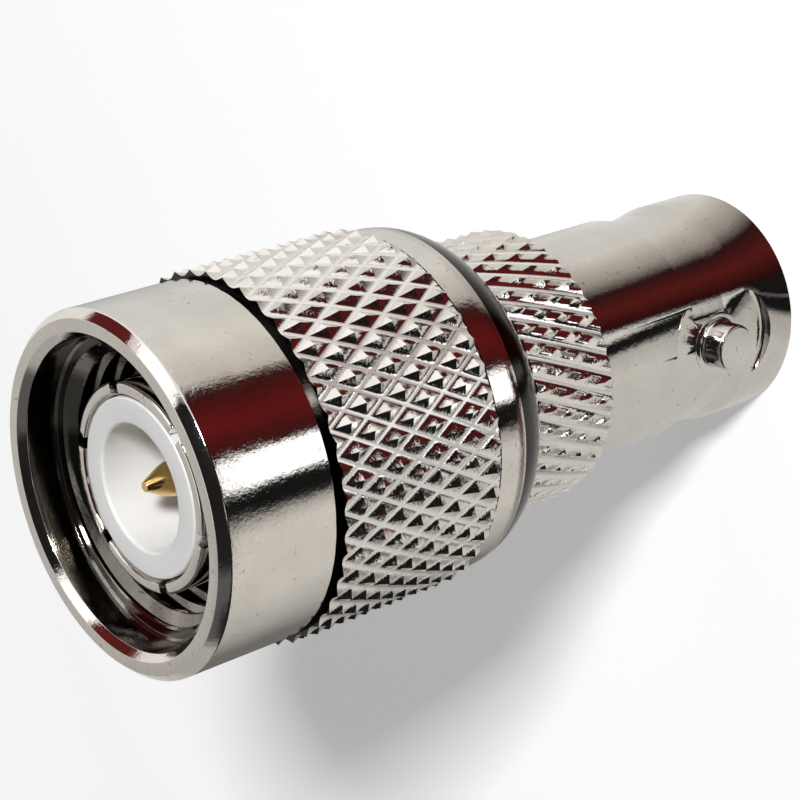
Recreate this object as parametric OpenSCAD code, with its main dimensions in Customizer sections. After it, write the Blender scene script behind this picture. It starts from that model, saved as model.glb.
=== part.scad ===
// Coaxial adapter with a screw-coupled plug at the top and a bayonet jack at the bottom.
// Millimetres, +Z along the common axis. The end face of the jack is at Z = 0.

/* [Jack barrel] */
// Length of the barrel, from its end face to the knurled collar
barrel_len = 11.75; // [11:0.05:14]
// Outside diameter of the barrel
barrel_d = 9.65; // [9.6:0.01:9.8]
// Wall of the barrel round the jack's bore, which takes the mating plug's spring fingers
barrel_wall = 0.765; // [0.7:0.005:0.85]
// Depth of the jack's bore, from the end face to the reference face
jack_bore_depth = 8.4; // [8:0.05:8.8]
// Radius of the rounded rim at the end face
rim_round = 0.35; // [0.2:0.05:0.4]
// Chamfer at the mouth of the jack's bore
bore_chamfer = 0.15; // [0.1:0.05:0.3]

/* [Bayonet studs] */
// Distance of the studs' axis from the end face
stud_z = 4.4; // [4.2:0.05:5]
// Diameter of a stud
stud_d = 2; // [1.9:0.01:2.1]
// Height of a stud's outer face above the barrel
stud_height = 0.675; // [0.6:0.005:0.75]
// Chamfer round a stud's outer face
stud_chamfer = 0.15; // [0.05:0.01:0.25]
// Radius of the fillet at a stud's foot
stud_fillet = 0.3; // [0.1:0.05:0.4]
// Diameter of the milled recess round a stud
dish_d = 5.8; // [5:0.05:6]
// Depth of the recess's flat floor below the barrel's surface
dish_depth = 0.405; // [0.3:0.005:0.45]
// Width of the turned channel that the studs stand in
channel_w = 3.15; // [2.6:0.05:3.4]
// Depth of the channel below the barrel's surface
channel_depth = 0.22; // [0.1:0.01:0.3]

/* [Collar and hub] */
// Length of the knurled collar
collar_len = 4.25; // [3.6:0.05:5]
// Diameter over the collar's knurl
collar_d = 11.6; // [11.4:0.05:12]
// Width of the plain edge at each end of the collar
collar_edge = 0.15; // [0.1:0.05:0.3]
// Wall of the hub round the outer contact's foot
hub_wall = 0.73; // [0.65:0.01:0.85]
// Length of the hub above the collar
hub_len = 4.5; // [4.2:0.05:5]
// Height of the ring groove's lower side above the collar
ring_groove_z = 1.2; // [0.9:0.05:1.3]
// Depth of the hub's ring groove
ring_groove_depth = 0.8; // [0.7:0.02:0.85]
// Thickness of the reference web between the jack's bore and the inner bore
web_t = 1.2; // [1:0.05:1.5]
// Diameter of the inner bore that holds the insulators
inner_bore_d = 6; // [5.8:0.02:6.2]
// Depth of the socket for the outer contact, from the hub's top
socket_depth = 1.5; // [1.3:0.05:1.6]

/* [Coupling nut] */
// Length of the smooth band at the mouth
band_len = 5.05; // [4.5:0.05:6]
// Diameter of the smooth band
band_d = 14.2; // [14.1:0.05:14.5]
// Width of the groove between the band and the knurl
neck_groove_w = 0.3; // [0.2:0.05:0.5]
// Depth of that groove below the band
neck_groove_depth = 0.25; // [0.15:0.05:0.35]
// Length of the nut's knurl
nut_knurl_len = 7.5; // [6.5:0.05:9]
// Diameter over the nut's knurl
nut_knurl_d = 14.8; // [14.7:0.05:15.2]
// Length of the straight part of the shoulder behind the knurl
shoulder_straight = 0.95; // [0.6:0.05:1.5]
// Length of the rounded part of the shoulder
shoulder_curve = 2.3; // [2:0.05:2.4]
// Radius of the rounded part
shoulder_round = 2.6; // [2.5:0.05:3]
// Outer chamfer at the mouth, across the band
mouth_chamfer = 0.32; // [0.2:0.02:0.5]
// Length of the mouth's outer chamfer
mouth_chamfer_len = 0.36; // [0.2:0.02:0.6]
// Diameter of the counterbore in front of the thread
counterbore_d = 12; // [11.8:0.05:12.2]
// Depth of the counterbore
counterbore_depth = 1.6; // [1.3:0.05:2]
// Countersink at the counterbore's edge
mouth_countersink = 0.28; // [0.1:0.02:0.35]
// Minor diameter of the coupling thread, as a plain bore
thread_minor_d = 10.24; // [10.15:0.01:10.3]
// Major diameter of the coupling thread, where its lead-in begins
thread_major_d = 11.12; // [11.1:0.01:11.2]
// Length of the threaded bore, with its lead-in
thread_len = 5.9; // [5:0.05:6.2]
// Diameter of the clear space behind the thread
relief_d = 11.7; // [11.5:0.05:11.8]
// Thickness of the nut's floor, from its rear end to that space
nut_floor = 3.9; // [3.8:0.05:3.95]
// Clearance between the nut's bore and the hub, on the radius
nut_clearance = 0.06; // [0.03:0.01:0.08]
// Gap between the nut and the collar at rest
nut_gap = 0.1; // [0.05:0.01:0.2]
// Axial float of the nut
nut_float = 0.3; // [0.1:0.05:0.35]

/* [Knurls] */
// Number of grooves each way round the nut
nut_knurl_n = 44; // [36:1:56]
// Number of grooves each way round the collar
collar_knurl_n = 42; // [30:1:48]
// Length of one diamond along the nut
nut_knurl_pitch = 1.82; // [1.4:0.02:2.4]
// Length of one diamond along the collar
collar_knurl_pitch = 1.94; // [1.4:0.02:2.4]
// Direction of a groove crossing at the lower end of the nut's knurl
nut_knurl_turn = 7.3; // [0:0.1:9]
// Direction of a groove crossing at the lower end of the collar's knurl
collar_knurl_turn = 0.1; // [0:0.1:9]
// Depth of the knurl's grooves
knurl_depth = 0.24; // [0.15:0.01:0.28]

/* [Retaining ring] */
// Width of the ring's section, half in the hub's groove and half in the nut's
ring_w = 0.8; // [0.7:0.02:0.85]
// Thickness of the ring
ring_t = 0.8; // [0.6:0.05:0.85]
// Width of the ring's gap
ring_slit = 1.6; // [1:0.1:2.5]
// Clearance of the ring in its grooves
ring_play = 0.05; // [0.03:0.01:0.08]

/* [Face gasket] */
// Gap between the gasket and the outer contact's foot
gasket_gap = 0.45; // [0.35:0.05:0.55]
// Width of the gasket's section
gasket_w = 0.8; // [0.7:0.05:0.9]
// Thickness of the gasket
gasket_t = 1.4; // [1:0.05:1.6]
// Chamfer of the gasket's front edges
gasket_edge = 0.2; // [0.1:0.05:0.3]

/* [Outer contact] */
// Outside diameter of the slotted outer contact
contact_d = 8.15; // [8.1:0.01:8.2]
// Wall of the outer contact
contact_wall = 0.525; // [0.5:0.005:0.55]
// Distance of the contact's tips behind the nut's mouth
contact_recess = 1.3; // [1:0.05:2]
// Step of the contact's foot, pressed into the hub, beyond its sleeve
contact_foot_step = 0.175; // [0.1:0.005:0.2]
// Thickness of the inner flange at the contact's foot
contact_flange_t = 1.48; // [1:0.02:2]
// Number of slots in the contact
contact_slots = 6; // [4:1:8]
// Width of a contact slot
contact_slot_w = 0.5; // [0.3:0.05:0.6]
// Length of the contact's slots
contact_slot_len = 4.9; // [4:0.1:5.1]
// Direction of the first slot
contact_slot_angle = 46; // [0:1:59]
// Rounding of the tips' outer edge
contact_tip_round = 0.16; // [0.1:0.02:0.2]
// Chamfer of the tips' inner edge, across the wall
contact_tip_chamfer = 0.18; // [0.1:0.02:0.2]

/* [Insulators] */
// Clearance of the plug's insulator inside the outer contact
plug_insulator_gap = 0.05; // [0.02:0.01:0.08]
// Distance of its front face behind the contact's tips
plug_insulator_recess = 0.05; // [0:0.05:0.4]
// Diameter of its front bore round the pin
plug_bore_d = 4.92; // [4.85:0.01:5]
// Depth of its front bore
plug_bore_depth = 5.3; // [5:0.05:5.6]
// Rounding of the front bore's edge
plug_bore_round = 0.15; // [0.05:0.05:0.25]
// Diameter of the jack insulator's nose
nose_d = 4.72; // [4.6:0.01:4.78]
// Chamfer of the nose's edge
nose_edge = 0.15; // [0.1:0.05:0.25]
// Length of the nose beyond the reference face
nose_len = 4.95; // [4.7:0.05:5.2]
// Thickness of the jack insulator's flange
jack_flange_t = 1.7; // [1.3:0.05:2]

/* [Centre contact] */
// Diameter of the plug's centre pin
pin_d = 1.35; // [1.32:0.01:1.37]
// Distance of the pin's tip behind the insulator's front face
pin_recess = 0.25; // [0.2:0.05:1]
// Length of the pin's tapered tip
pin_tip_len = 0.75; // [0.5:0.05:1]
// Diameter of the flat at the tip
pin_tip_d = 0.4; // [0.3:0.05:0.7]
// Diameter of the centre contact's body
core_d = 2.2; // [2:0.02:2.4]
// Diameter of the flange trapped between the insulators
core_flange_d = 3.2; // [3:0.05:3.6]
// Thickness of that flange
core_flange_t = 1; // [0.8:0.05:1.3]
// Length of the thinner seat held in the plug's insulator
pin_seat = 1; // [0.7:0.05:1.4]
// Diameter of that seat
pin_seat_d = 1.8; // [1.7:0.05:2]
// Outside diameter of the jack's centre socket
socket_d = 2.1; // [2:0.01:2.18]
// Bore of the centre socket, as it grips a pin
socket_bore_d = 1.33; // [1.3:0.01:1.36]
// Depth of the socket's bore
socket_bore_depth = 5.4; // [5:0.1:6]
// Distance of the socket's end behind the nose's face
socket_recess = 0.3; // [0.1:0.05:0.5]
// Number of slots in the socket
socket_slots = 4; // [2:1:4]
// Width of a socket slot
socket_slot_w = 0.3; // [0.2:0.05:0.35]
// Length of the socket's slots
socket_slot_len = 4; // [3:0.1:4.8]
// Chamfer at the socket's mouth
socket_chamfer = 0.2; // [0.1:0.05:0.25]

/* [Fits] */
// Clearance between pieces that are pressed or stacked together
seat_gap = 0.02; // [0.01:0.01:0.04]
// Clearance round the insulators
press_gap = 0.05; // [0.03:0.01:0.08]
// Clearance round the centre contact inside the insulators
pin_gap = 0.03; // [0.02:0.01:0.05]

/* [Hidden] */

$fn = 96;
round_steps = 64;

// Heights of the shell, counted up from the jack's end face
collar_z = barrel_len;
hub_z = collar_z + collar_len;
hub_top = hub_z + hub_len;
web_top = jack_bore_depth + web_t;
socket_z = hub_top - socket_depth;
ring_groove_bottom = hub_z + ring_groove_z;
ring_groove_w = ring_t + nut_float + 2 * ring_play;

// Heights of the nut at rest
nut_z = hub_z + nut_gap;
shoulder_z = nut_z + shoulder_curve;
nut_knurl_z = shoulder_z + shoulder_straight;
neck_groove_z = nut_knurl_z + nut_knurl_len;
band_z = neck_groove_z + neck_groove_w;
mouth_z = band_z + band_len;
nut_floor_z = nut_z + nut_floor;
thread_top = mouth_z - counterbore_depth;
thread_bottom = thread_top - thread_len;
ring_z = ring_groove_bottom + ring_play;

// Heights inside the plug
tip_z = mouth_z - contact_recess;
contact_z = socket_z + seat_gap;
contact_flange_top = contact_z + contact_flange_t;
plug_face_z = tip_z - plug_insulator_recess;
plug_bore_z = plug_face_z - plug_bore_depth;
pin_tip_z = plug_face_z - pin_recess;
pin_start_z = plug_bore_z - pin_seat;

// Heights inside the jack
nose_z = jack_bore_depth - nose_len;
jack_flange_z = web_top + seat_gap;
jack_flange_top = jack_flange_z + jack_flange_t;
core_flange_z = jack_flange_top + seat_gap;
core_flange_top = core_flange_z + core_flange_t;
socket_end_z = nose_z + socket_recess;

// Diameters that follow from their mates
jack_bore_d = barrel_d - 2 * barrel_wall;
stud_span = barrel_d + 2 * stud_height;
dish_floor = barrel_d / 2 - dish_depth;
held_d = inner_bore_d - 2 * press_gap;
contact_id = contact_d - 2 * contact_wall;
contact_foot_d = contact_d + 2 * contact_foot_step;
contact_socket_d = contact_foot_d + 2 * seat_gap;
plug_insulator_d = contact_id - 2 * plug_insulator_gap;
hub_d = contact_socket_d + 2 * hub_wall;
nut_bore_d = hub_d + 2 * nut_clearance;
ring_inner_d = hub_d - ring_w;
ring_outer_d = hub_d + ring_w;
nut_groove_d = ring_outer_d + 4 * ring_play;
gasket_inner_d = contact_foot_d + 2 * gasket_gap;
gasket_outer_d = gasket_inner_d + 2 * gasket_w;
shoulder_d = band_d + 0.04;
nut_root_d = nut_knurl_d - 2 * knurl_depth;
collar_root_d = collar_d - 2 * knurl_depth;
neck_groove_d = band_d - 2 * neck_groove_depth;
web_hole_d = nose_d + 2 * press_gap;
core_hole_d = core_d + 2 * pin_gap;
pin_hole_d = pin_seat_d + 2 * pin_gap;
socket_hole_d = socket_d + 2 * pin_gap;
flange_hole_d = core_flange_d + 2 * press_gap;

// How far a knurl's ring reaches into the solid that carries it
knurl_root_in = 0.3;
knurl_end_in = 0.06;
overlap = 0.2;

// Points of an arc in a turned profile, from angle a0 to a1
function arc(cr, cz, r, a0, a1, steps = 12) =
    [for (i = [0:steps]) let (a = a0 + (a1 - a0) * i / steps) [cr + r * cos(a), cz + r * sin(a)]];

// A closed ring of revolution from a profile of [radius, height] points
module turned(profile) {
    rotate_extrude($fn = $fn) polygon(profile);
}

// A band of diamond knurling: rows of vertices alternate between groove crossings and tooth tops.
// Each row is turned by half a tooth against the next, so the grooves cross at the knurl's angle.
module knurl_band(tip_r, root_r, inner_r, z0, length, teeth, pitch, turn) {
    rows = max(2, round(2 * length / pitch));
    columns = 2 * teeth;
    step = length / rows;
    function at(row, column) = row * columns + column % columns;
    outer = [for (row = [0:rows], column = [0:columns - 1])
        let (r = (row + column) % 2 == 0 ? root_r : tip_r, a = turn + column * 360 / columns)
        [r * cos(a), r * sin(a), z0 + row * step]];
    inner = [for (end = [0, 1], column = [0:columns - 1])
        let (a = turn + column * 360 / columns)
        [inner_r * cos(a), inner_r * sin(a), z0 + end * length]];
    base = len(outer);
    function within(end, column) = base + end * columns + column % columns;
    skin = [for (row = [0:rows - 1], column = [0:columns - 1], half = [0, 1])
        (row + column) % 2 == 0
        ? (half == 0 ? [at(row, column), at(row + 1, column + 1), at(row, column + 1)]
                     : [at(row, column), at(row + 1, column), at(row + 1, column + 1)])
        : (half == 0 ? [at(row, column), at(row + 1, column), at(row, column + 1)]
                     : [at(row + 1, column), at(row + 1, column + 1), at(row, column + 1)])];
    lining = [for (column = [0:columns - 1], half = [0, 1])
        half == 0 ? [within(0, column), within(0, column + 1), within(1, column)]
                  : [within(0, column + 1), within(1, column + 1), within(1, column)]];
    lower = [for (column = [0:columns - 1], half = [0, 1])
        half == 0 ? [at(0, column), at(0, column + 1), within(0, column)]
                  : [at(0, column + 1), within(0, column + 1), within(0, column)]];
    upper = [for (column = [0:columns - 1], half = [0, 1])
        half == 0 ? [at(rows, column), within(1, column), at(rows, column + 1)]
                  : [at(rows, column + 1), within(1, column), within(1, column + 1)]];
    polyhedron(points = concat(outer, inner), faces = concat(skin, lining, lower, upper), convexity = 6);
}

// Places its children on the two opposite stud axes, with +Z pointing outwards from the main axis
module at_studs() {
    for (side = [0, 180])
        rotate([0, 0, side]) translate([0, 0, stud_z]) rotate([0, 90, 0]) children();
}

// One bayonet stud, from inside the barrel's wall to its outer face
module stud() {
    foot = dish_floor;
    top = stud_span / 2;
    turned(concat(
        [[0, dish_floor - 0.2], [stud_d / 2 + stud_fillet, dish_floor - 0.2]],
        arc(stud_d / 2 + stud_fillet, foot + stud_fillet, stud_fillet, 270, 180, 6),
        [[stud_d / 2, top - stud_chamfer], [stud_d / 2 - stud_chamfer, top], [0, top]]));
}

// Turned shell: jack barrel with its channel, collar, and the hub inside the nut
module shell_turning() {
    channel_low = stud_z - channel_w / 2;
    channel_high = stud_z + channel_w / 2;
    channel_r = barrel_d / 2 - channel_depth;
    turned(concat(
        [[jack_bore_d / 2 + bore_chamfer, 0]],
        arc(barrel_d / 2 - rim_round, rim_round, rim_round, -90, 0, 8),
        [[barrel_d / 2, channel_low], [channel_r, channel_low + 0.05],
         [channel_r, channel_high - 0.05], [barrel_d / 2, channel_high],
         [barrel_d / 2, collar_z],
         [collar_root_d / 2 - collar_edge, collar_z], [collar_root_d / 2 - 0.02, collar_z + collar_edge],
         [collar_root_d / 2 - 0.02, hub_z - collar_edge], [collar_root_d / 2 - collar_edge, hub_z],
         [hub_d / 2, hub_z], [hub_d / 2, ring_groove_bottom],
         [hub_d / 2 - ring_groove_depth, ring_groove_bottom],
         [hub_d / 2 - ring_groove_depth, ring_groove_bottom + ring_groove_w],
         [hub_d / 2, ring_groove_bottom + ring_groove_w], [hub_d / 2, hub_top],
         [contact_socket_d / 2, hub_top], [contact_socket_d / 2, socket_z],
         [inner_bore_d / 2, socket_z], [inner_bore_d / 2, web_top],
         [web_hole_d / 2, web_top], [web_hole_d / 2, jack_bore_depth],
         [jack_bore_d / 2, jack_bore_depth], [jack_bore_d / 2, bore_chamfer]]));
}

// Shell of the adapter, turned and milled from one bar
module body_shell() {
    color([0.76, 0.74, 0.71]) union() {
        difference() {
            shell_turning();
            at_studs() translate([0, 0, dish_floor]) cylinder(d = dish_d, h = stud_span);
        }
        at_studs() stud();
        knurl_band(collar_d / 2, collar_root_d / 2, collar_root_d / 2 - knurl_root_in,
                   collar_z + collar_edge + knurl_end_in, collar_len - 2 * (collar_edge + knurl_end_in),
                   collar_knurl_n, collar_knurl_pitch, collar_knurl_turn);
    }
}

// Turned blank of the coupling nut, without its knurl
module nut_turning() {
    arc_end = asin(shoulder_curve / shoulder_round);
    turned(concat(
        [[nut_bore_d / 2, nut_z]],
        arc(shoulder_d / 2 - shoulder_round, shoulder_z, shoulder_round, -arc_end, 0, round_steps / 8),
        [[shoulder_d / 2, nut_knurl_z + knurl_end_in], [neck_groove_d / 2, nut_knurl_z + knurl_end_in],
         [neck_groove_d / 2, band_z - 0.05], [band_d / 2, band_z],
         [band_d / 2, mouth_z - mouth_chamfer_len], [band_d / 2 - mouth_chamfer, mouth_z],
         [counterbore_d / 2 + mouth_countersink, mouth_z],
         [counterbore_d / 2, mouth_z - mouth_countersink],
         [counterbore_d / 2, thread_top + 0.1], [counterbore_d / 2 - 0.1, thread_top],
         [thread_major_d / 2, thread_top],
         [thread_minor_d / 2, thread_top - (thread_major_d - thread_minor_d) / 2],
         [thread_minor_d / 2, thread_bottom],
         [relief_d / 2, thread_bottom - (relief_d - thread_minor_d) / 4],
         [relief_d / 2, nut_floor_z], [nut_bore_d / 2, nut_floor_z],
         [nut_bore_d / 2, ring_z + ring_t + ring_play], [nut_groove_d / 2, ring_z + ring_t + ring_play],
         [nut_groove_d / 2, ring_z - ring_play], [nut_bore_d / 2, ring_z - ring_play]]));
}

// Coupling nut: smooth band, knurl and rounded shoulder outside, thread and ring groove inside
module coupling_nut() {
    color([0.78, 0.76, 0.73]) union() {
        nut_turning();
        knurl_band(nut_knurl_d / 2, nut_root_d / 2, neck_groove_d / 2 - knurl_root_in,
                   nut_knurl_z, nut_knurl_len, nut_knurl_n, nut_knurl_pitch, nut_knurl_turn);
    }
}

// Split ring that rides in the grooves of the hub and the nut
module retaining_ring() {
    color([0.7, 0.6, 0.38]) difference() {
        turned([[ring_inner_d / 2, ring_z], [ring_outer_d / 2, ring_z],
                [ring_outer_d / 2, ring_z + ring_t], [ring_inner_d / 2, ring_z + ring_t]]);
        translate([0, -ring_slit / 2, ring_z - overlap])
            cube([ring_outer_d, ring_slit, ring_t + 2 * overlap]);
    }
}

// Soft ring that seals against the mating jack's rim
module face_gasket() {
    bottom = hub_top + seat_gap;
    color([0.62, 0.2, 0.13])
        turned([[gasket_inner_d / 2, bottom], [gasket_outer_d / 2, bottom],
                [gasket_outer_d / 2, bottom + gasket_t - gasket_edge],
                [gasket_outer_d / 2 - gasket_edge, bottom + gasket_t],
                [gasket_inner_d / 2 + gasket_edge, bottom + gasket_t],
                [gasket_inner_d / 2, bottom + gasket_t - gasket_edge]]);
}

// Slotted spring sleeve of the plug, pressed into the hub
module outer_contact() {
    wall_out = contact_d / 2;
    wall_in = contact_id / 2;
    color([0.74, 0.72, 0.69]) difference() {
        turned(concat(
            [[inner_bore_d / 2, contact_z], [contact_foot_d / 2, contact_z],
             [contact_foot_d / 2, hub_top], [wall_out, hub_top]],
            arc(wall_out - contact_tip_round, tip_z - contact_tip_round, contact_tip_round, 0, 90, 6),
            [[wall_in + contact_tip_chamfer, tip_z], [wall_in, tip_z - 2 * contact_tip_chamfer],
             [wall_in, contact_flange_top], [inner_bore_d / 2, contact_flange_top]]));
        for (i = [0:contact_slots - 1])
            rotate([0, 0, contact_slot_angle + i * 360 / contact_slots])
                translate([wall_in - overlap, -contact_slot_w / 2, tip_z - contact_slot_len])
                    cube([wall_out - wall_in + 2 * overlap, contact_slot_w, contact_slot_len + overlap]);
    }
}

// White insulator of the plug, with the bore that its pin stands in
module plug_insulator() {
    front_z = contact_flange_top + seat_gap;
    color([0.93, 0.93, 0.92])
        turned(concat(
            [[flange_hole_d / 2, core_flange_z], [held_d / 2, core_flange_z],
             [held_d / 2, front_z], [plug_insulator_d / 2, front_z],
             [plug_insulator_d / 2, plug_face_z]],
            arc(plug_bore_d / 2 + plug_bore_round, plug_face_z - plug_bore_round, plug_bore_round, 90, 180, 5),
            [[plug_bore_d / 2, plug_bore_z], [pin_hole_d / 2, plug_bore_z],
             [pin_hole_d / 2, pin_start_z + seat_gap], [core_hole_d / 2, pin_start_z + seat_gap],
             [core_hole_d / 2, core_flange_top + seat_gap], [flange_hole_d / 2, core_flange_top + seat_gap]]));
}

// White insulator of the jack, whose nose stands in the bore round the centre socket
module jack_insulator() {
    color([0.93, 0.93, 0.92])
        turned([[socket_hole_d / 2, nose_z], [nose_d / 2 - nose_edge, nose_z],
                [nose_d / 2, nose_z + nose_edge], [nose_d / 2, jack_flange_z],
                [held_d / 2, jack_flange_z], [held_d / 2, jack_flange_top],
                [socket_hole_d / 2, jack_flange_top]]);
}

// Centre contact: pin at the plug's end, slotted socket at the jack's end
module centre_contact() {
    color([0.83, 0.66, 0.33]) difference() {
        turned([[0, socket_end_z + socket_bore_depth],
                [socket_bore_d / 2, socket_end_z + socket_bore_depth],
                [socket_bore_d / 2, socket_end_z + socket_chamfer],
                [socket_bore_d / 2 + socket_chamfer, socket_end_z],
                [socket_d / 2, socket_end_z], [socket_d / 2, core_flange_z],
                [core_flange_d / 2, core_flange_z], [core_flange_d / 2, core_flange_top],
                [core_d / 2, core_flange_top], [core_d / 2, pin_start_z],
                [pin_seat_d / 2, pin_start_z], [pin_seat_d / 2, plug_bore_z],
                [pin_d / 2, plug_bore_z], [pin_d / 2, pin_tip_z - pin_tip_len],
                [pin_tip_d / 2, pin_tip_z], [0, pin_tip_z]]);
        for (i = [0:socket_slots / 2 - 1])
            rotate([0, 0, i * 360 / socket_slots])
                translate([-socket_d, -socket_slot_w / 2, socket_end_z - overlap])
                    cube([2 * socket_d, socket_slot_w, socket_slot_len + overlap]);
    }
}

body_shell();
coupling_nut();
retaining_ring();
face_gasket();
outer_contact();
plug_insulator();
jack_insulator();
centre_contact();
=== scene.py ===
"""Looks of a straight coaxial adapter: screw-coupled plug at the top, bayonet jack at the bottom.

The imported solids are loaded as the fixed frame. Each sub-assembly below builds the visible form of
one solid in the same place, dresses it in a procedural finish and lets it ride on that solid's body.
All sizes in the classes are millimetres; MM turns them into the metres that Blender works in.
"""
import logging
import math
from dataclasses import dataclass
from enum import Enum
from typing import Callable, Iterable, Sequence, Union

import bmesh
import bpy
import numpy as np
from mathutils import Matrix, Vector


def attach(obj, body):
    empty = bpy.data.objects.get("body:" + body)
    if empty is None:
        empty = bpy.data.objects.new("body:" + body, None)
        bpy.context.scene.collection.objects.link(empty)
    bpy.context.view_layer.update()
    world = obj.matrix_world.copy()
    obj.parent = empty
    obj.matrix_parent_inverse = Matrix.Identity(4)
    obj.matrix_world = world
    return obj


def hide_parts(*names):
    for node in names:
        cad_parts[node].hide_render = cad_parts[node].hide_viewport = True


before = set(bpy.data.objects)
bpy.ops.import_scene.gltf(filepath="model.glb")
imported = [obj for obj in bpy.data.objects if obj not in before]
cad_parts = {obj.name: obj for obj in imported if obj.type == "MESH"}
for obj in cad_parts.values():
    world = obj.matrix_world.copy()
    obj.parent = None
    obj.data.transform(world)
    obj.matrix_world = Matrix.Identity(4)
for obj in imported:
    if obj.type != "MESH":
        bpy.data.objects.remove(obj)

MM = 0.001
TAU = 2 * math.pi
LOG = logging.getLogger("adapter")
Point = tuple[float, float]
Number = Union[float, int]


class Body(Enum):
    """Rigid bodies that the pieces ride on."""

    SHELL = "shell"
    RING = "ring"
    NUT = "nut"


# ---------------------------------------------------------------------------------------------
# Node trees
# ---------------------------------------------------------------------------------------------


class Sock:
    """One output socket, on which shader or geometry maths is written as plain arithmetic."""

    def __init__(self, writer: "NodeWriter", socket: bpy.types.NodeSocket) -> None:
        """Keeps the socket and the writer of its tree."""
        self.writer = writer
        self.socket = socket

    def math(self, operation: str, *others: Union["Sock", Number], clamp: bool = False) -> "Sock":
        """Adds a Math node.

        Args:
            operation: Name of the Math node's operation.
            others: Further operands, as sockets or numbers.
            clamp: Whether the result is held between 0 and 1.

        Returns:
            The result's socket.
        """
        values: dict[Union[str, int], object] = {0: self}
        values.update({i + 1: other for i, other in enumerate(others)})
        return self.writer.add("ShaderNodeMath", {"operation": operation, "use_clamp": clamp}, values)

    def _flipped(self, operation: str, other: Number) -> "Sock":
        """Adds a Math node whose first operand is a plain number."""
        return self.writer.add("ShaderNodeMath", {"operation": operation}, {0: other, 1: self})

    def __add__(self, other: Union["Sock", Number]) -> "Sock":
        """Sum."""
        return self.math("ADD", other)

    __radd__ = __add__

    def __sub__(self, other: Union["Sock", Number]) -> "Sock":
        """Difference."""
        return self.math("SUBTRACT", other)

    def __rsub__(self, other: Number) -> "Sock":
        """Difference from a number."""
        return self._flipped("SUBTRACT", other)

    def __mul__(self, other: Union["Sock", Number]) -> "Sock":
        """Product."""
        return self.math("MULTIPLY", other)

    __rmul__ = __mul__

    def __truediv__(self, other: Union["Sock", Number]) -> "Sock":
        """Quotient."""
        return self.math("DIVIDE", other)

    def __gt__(self, other: Union["Sock", Number]) -> "Sock":
        """1 where this is greater, else 0."""
        return self.math("GREATER_THAN", other)

    def __lt__(self, other: Union["Sock", Number]) -> "Sock":
        """1 where this is less, else 0."""
        return self.math("LESS_THAN", other)

    def __abs__(self) -> "Sock":
        """Absolute value."""
        return self.math("ABSOLUTE")

    def step(self, low: Number, high: Number) -> "Sock":
        """Ramp from 0 at low to 1 at high, held between them."""
        return self.writer.add("ShaderNodeMapRange", {"clamp": True},
                               {"Value": self, "From Min": low, "From Max": high})


Value = Union[Sock, Number, Sequence[float], str, bool, bpy.types.Object, bpy.types.Material]


class NodeWriter:
    """Writes nodes into one tree."""

    def __init__(self, tree: bpy.types.NodeTree) -> None:
        """Empties the tree and keeps it."""
        self.tree = tree
        tree.nodes.clear()

    def node(self, kind: str, settings: dict[str, object] | None = None,
             values: dict[Union[str, int], Value] | None = None) -> bpy.types.Node:
        """Adds any node, with its settings first and its sockets after them.

        Args:
            kind: Node type.
            settings: Node properties; "stops" fills a colour ramp with (position, colour) pairs.
            values: Values or links of the input sockets, by name or index.

        Returns:
            The node.
        """
        made = self.tree.nodes.new(kind)
        for key, value in (settings or {}).items():
            if key == "stops":
                ramp = made.color_ramp.elements
                while len(ramp) < len(value):
                    ramp.new(0.5)
                for element, (position, colour) in zip(ramp, value):
                    element.position = position
                    element.color = (*colour, 1.0)
            else:
                setattr(made, key, value)
        for key, value in (values or {}).items():
            socket = made.inputs[key]
            if isinstance(value, Sock):
                self.tree.links.new(value.socket, socket)
            else:
                socket.default_value = value
        return made

    def add(self, kind: str, settings: dict[str, object] | None = None,
            values: dict[Union[str, int], Value] | None = None, out: Union[str, int] = 0) -> Sock:
        """Adds a node and gives one of its outputs.

        Args:
            kind: Node type.
            settings: Node properties.
            values: Values or links of the input sockets.
            out: Name or index of the output.

        Returns:
            The output's socket.
        """
        return Sock(self, self.node(kind, settings, values).outputs[out])

    def blend(self, factor: Union[Sock, Number], low: Value, high: Value) -> Sock:
        """Mixes two colours.

        Args:
            factor: Share of the second colour.
            low: Colour at 0.
            high: Colour at 1.

        Returns:
            The mixed colour's socket.
        """
        return self.add("ShaderNodeMix", {"data_type": "RGBA"}, {0: factor, 6: low, 7: high}, 2)


# ---------------------------------------------------------------------------------------------
# Finishes
# ---------------------------------------------------------------------------------------------


def rgba(colour: Sequence[float]) -> tuple[float, ...]:
    """Adds a full alpha to a colour."""
    return (*colour, 1.0)


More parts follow.
